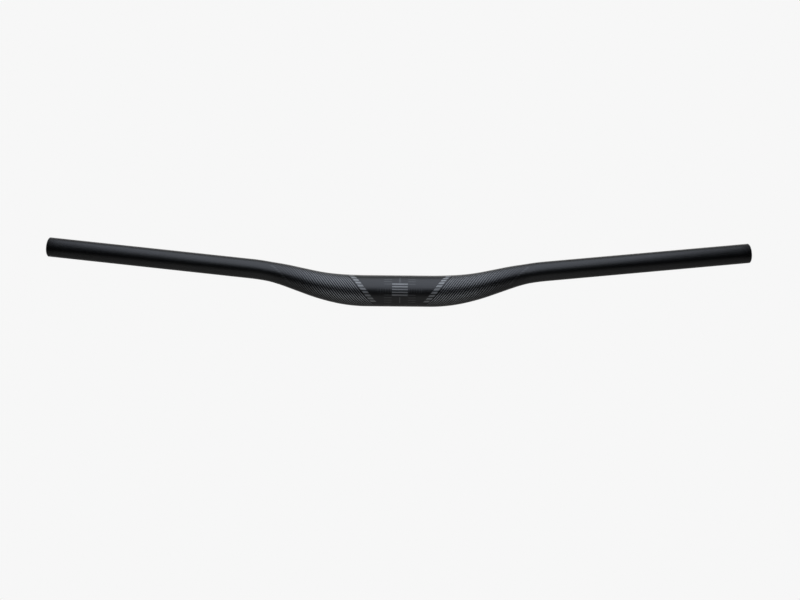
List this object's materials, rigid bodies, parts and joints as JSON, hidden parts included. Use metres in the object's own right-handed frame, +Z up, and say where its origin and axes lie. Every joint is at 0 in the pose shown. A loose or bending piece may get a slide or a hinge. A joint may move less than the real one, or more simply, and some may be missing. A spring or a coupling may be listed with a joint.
{
  "type": "bicycle handlebar",
  "caption": "One-piece riser handlebar: a black aluminium tube, thick at the stem, that tapers through a double bend on each side to swept-back open grip ends.",
  "frame": {"origin": "on the tube's axis, in the middle of the clamp zone", "axes": "+X along the bar to the rider's left as seen from the front, which is the picture's right, -Y to the front of the bicycle, +Y back towards the rider, +Z up"},
  "size_m": [0.8, 0.0695, 0.072],
  "materials": {
    "anodised_black": "satin"
  },
  "bodies": {
    "root": {"handlebar": "anodised_black"}
  },
  "joints": []
}
